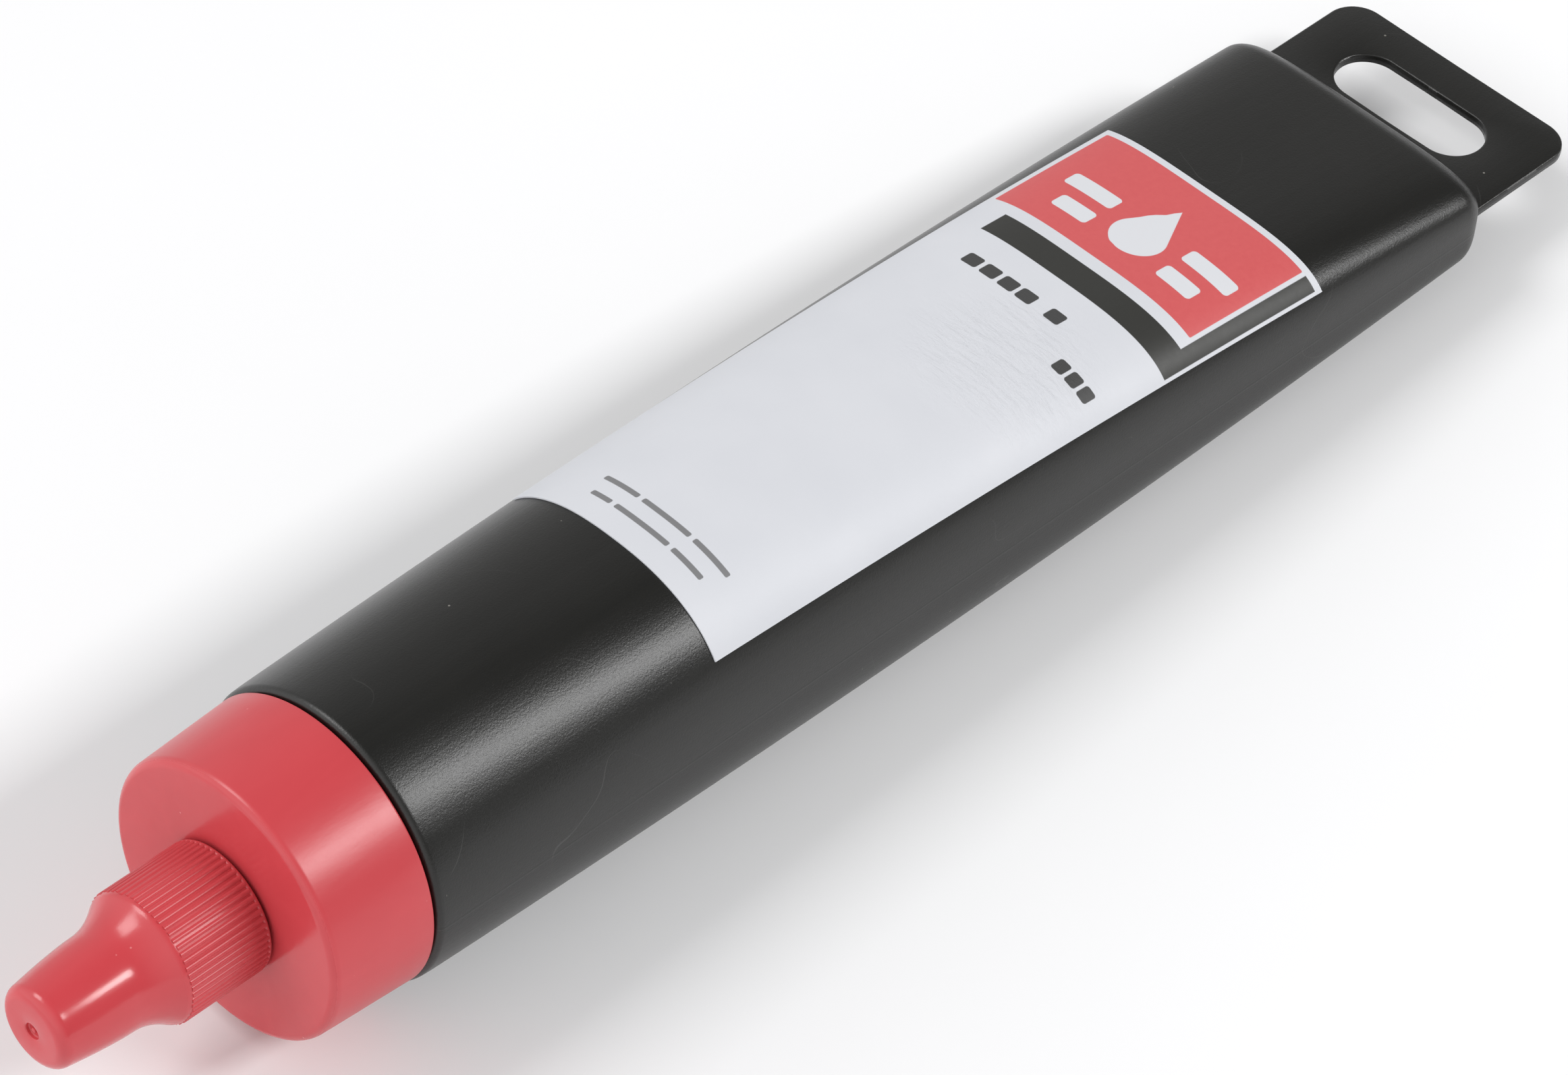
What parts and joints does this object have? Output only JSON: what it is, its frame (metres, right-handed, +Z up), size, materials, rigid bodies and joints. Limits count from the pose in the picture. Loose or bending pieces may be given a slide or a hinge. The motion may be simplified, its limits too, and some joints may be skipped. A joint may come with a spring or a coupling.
{
  "type": "grease squeeze bottle",
  "caption": "Blow-moulded squeeze bottle of gear grease: round front blending to a flat tail with a slotted hang tab, a screw closure with a nozzle and a ribbed screw cap.",
  "frame": {"origin": "centre of the bounding box at its base, under the lowest line of the bottle's round front", "axes": "+X from the nozzle towards the hang tab, along the bottle's axis; +Y across the bottle; +Z up, out of the labelled face"},
  "size_m": [0.2062, 0.0358, 0.0326],
  "materials": {
    "bottle": "satin black polyethylene",
    "label_film": "smooth printed film",
    "foil": "bright foil",
    "grease": "soft gel",
    "liner": "closed-cell foam",
    "closure": "glossy red polyethylene"
  },
  "bodies": {
    "bottle": {"bottle_body": "bottle", "front_label": "label_film", "foil_seal": "foil", "grease_fill": "grease"},
    "liner": {"closure_liner": "liner"},
    "closure": {"closure": "closure"},
    "cap_seal": {"cap_seal": "liner"},
    "cap": {"tip_cap": "closure"}
  },
  "joints": [
    {"name": "closure_lift", "type": "slide", "parent": "bottle", "child": "liner", "axis": [-1, 0, 0], "range_m": [0, 0.012]},
    {"name": "closure_turn", "type": "hinge", "parent": "liner", "child": "closure", "pos_m": [-0.073, 0, 0.0163], "axis": [-1, 0, 0], "range_deg": [0, 1080.5]},
    {"name": "cap_lift", "type": "slide", "parent": "closure", "child": "cap_seal", "axis": [-1, 0, 0], "range_m": [0, 0.024]},
    {"name": "cap_turn", "type": "hinge", "parent": "cap_seal", "child": "cap", "pos_m": [-0.0893, 0, 0.0163], "axis": [-1, 0, 0], "range_deg": [0, 2880.5]}
  ],
  "couplings": [
    {"joint": "closure_turn", "follows": "closure_lift", "rad_per_m": 1570.8},
    {"joint": "cap_turn", "follows": "cap_lift", "rad_per_m": 2094.4}
  ]
}
